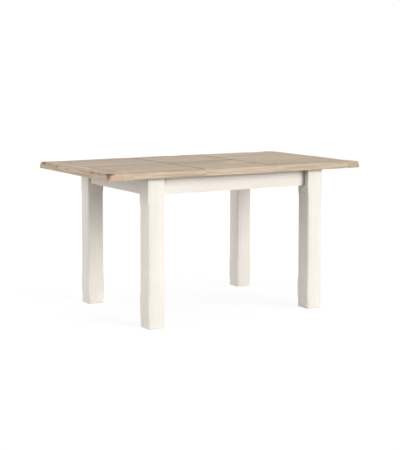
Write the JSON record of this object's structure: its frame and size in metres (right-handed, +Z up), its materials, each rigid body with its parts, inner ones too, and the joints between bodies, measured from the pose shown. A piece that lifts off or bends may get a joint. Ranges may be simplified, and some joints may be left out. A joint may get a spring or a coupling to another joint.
{
  "type": "extending dining table",
  "caption": "Extending dining table with a limed oak top on a painted four-leg frame; its folding centre leaf stores inside the frame.",
  "frame": {"origin": "on the floor under the middle of the table", "axes": "+X along the table's length, -Y towards its front, +Z up"},
  "size_m": [1.5, 0.84, 0.78],
  "materials": {
    "limed_oak": "matt limed oak, open grain",
    "painted_wood": "cream eggshell paint on hardwood",
    "raw_wood": "planed beech, unfinished",
    "steel": "zinc plated",
    "nylon": "moulded nylon"
  },
  "bodies": {
    "frame": {"leg_front_left": "painted_wood", "leg_front_right": "painted_wood", "leg_back_left": "painted_wood", "leg_back_right": "painted_wood", "foot_glide_front_left": "nylon", "foot_glide_front_right": "nylon", "foot_glide_back_left": "nylon", "foot_glide_back_right": "nylon", "apron_front": "painted_wood", "apron_back": "painted_wood", "apron_left": "painted_wood", "apron_right": "painted_wood", "corner_block_front_left": "raw_wood", "corner_block_front_right": "raw_wood", "corner_block_back_left": "raw_wood", "corner_block_back_right": "raw_wood", "corner_bolt_front_left": "steel", "corner_bolt_front_right": "steel", "corner_bolt_back_left": "steel", "corner_bolt_back_right": "steel", "guide_rail_front": "raw_wood", "guide_rail_back": "raw_wood", "guide_spacer_front_left": "raw_wood", "guide_spacer_front_right": "raw_wood", "guide_spacer_back_left": "raw_wood", "guide_spacer_back_right": "raw_wood", "crossbar_left": "steel", "crossbar_right": "steel"},
    "left_top": {"top_panel_left": "limed_oak", "end_board_left": "limed_oak", "runner_left_front": "raw_wood", "runner_left_back": "raw_wood"},
    "right_top": {"top_panel_right": "limed_oak", "end_board_right": "limed_oak", "runner_right_front": "raw_wood", "runner_right_back": "raw_wood"},
    "front_arms": {"swing_arm_front_left": "steel", "swing_arm_front_right": "steel", "pivot_pin_front_left": "steel", "pivot_pin_front_right": "steel", "swing_shaft_front": "steel"},
    "rear_arms": {"swing_arm_rear_left": "steel", "swing_arm_rear_right": "steel", "pivot_pin_rear_left": "steel", "pivot_pin_rear_right": "steel", "swing_shaft_rear": "steel"},
    "leaf_front": {"leaf_half_front": "limed_oak", "hinge_cup_front_left": "steel", "hinge_cup_front_right": "steel", "arm_bracket_front_left": "steel", "arm_bracket_front_right": "steel", "arm_bracket_rear_left": "steel", "arm_bracket_rear_right": "steel"},
    "fold_links_front": {"hinge_link_front_left": "steel", "hinge_link_front_right": "steel"},
    "leaf_back": {"leaf_half_back": "limed_oak", "hinge_cup_back_left": "steel", "hinge_cup_back_right": "steel"},
    "fold_links_back": {"hinge_link_back_left": "steel", "hinge_link_back_right": "steel"}
  },
  "joints": [
    {"name": "left_top_slide", "type": "slide", "parent": "frame", "child": "left_top", "axis": [-1, 0, 0], "range_m": [0, 0.05]},
    {"name": "right_top_slide", "type": "slide", "parent": "frame", "child": "right_top", "axis": [1, 0, 0], "range_m": [0, 0.05]},
    {"name": "arm_swing", "type": "hinge", "parent": "frame", "child": "front_arms", "pos_m": [0, -0.14261, 0.6665], "axis": [-1, 0, 0], "range_deg": [0, 140.2]},
    {"name": "rear_arm_swing", "type": "hinge", "parent": "frame", "child": "rear_arms", "pos_m": [0, -0.00261, 0.6665], "axis": [-1, 0, 0], "range_deg": [0, 140.2]},
    {"name": "leaf_level", "type": "hinge", "parent": "front_arms", "child": "leaf_front", "pos_m": [0, -0.235, 0.7395], "axis": [1, 0, 0], "range_deg": [0, 140.2]},
    {"name": "leaf_fold", "type": "hinge", "parent": "leaf_front", "child": "leaf_back", "pos_m": [0, 0, 0.7802], "axis": [1, 0, 0], "range_deg": [0, 180]},
    {"name": "front_link_turn", "type": "hinge", "parent": "leaf_front", "child": "fold_links_front", "pos_m": [0, -0.0052, 0.775], "axis": [1, 0, 0], "range_deg": [0, 90]},
    {"name": "back_link_turn", "type": "hinge", "parent": "leaf_back", "child": "fold_links_back", "pos_m": [0, 0.0052, 0.775], "axis": [-1, 0, 0], "range_deg": [0, 90]}
  ],
  "couplings": [
    {"joint": "rear_arm_swing", "follows": "arm_swing", "ratio": 1},
    {"joint": "leaf_level", "follows": "arm_swing", "ratio": 1},
    {"joint": "leaf_fold", "follows": "arm_swing", "ratio": 1.2838},
    {"joint": "front_link_turn", "follows": "arm_swing", "ratio": 0.6419},
    {"joint": "back_link_turn", "follows": "arm_swing", "ratio": 0.6419}
  ]
}
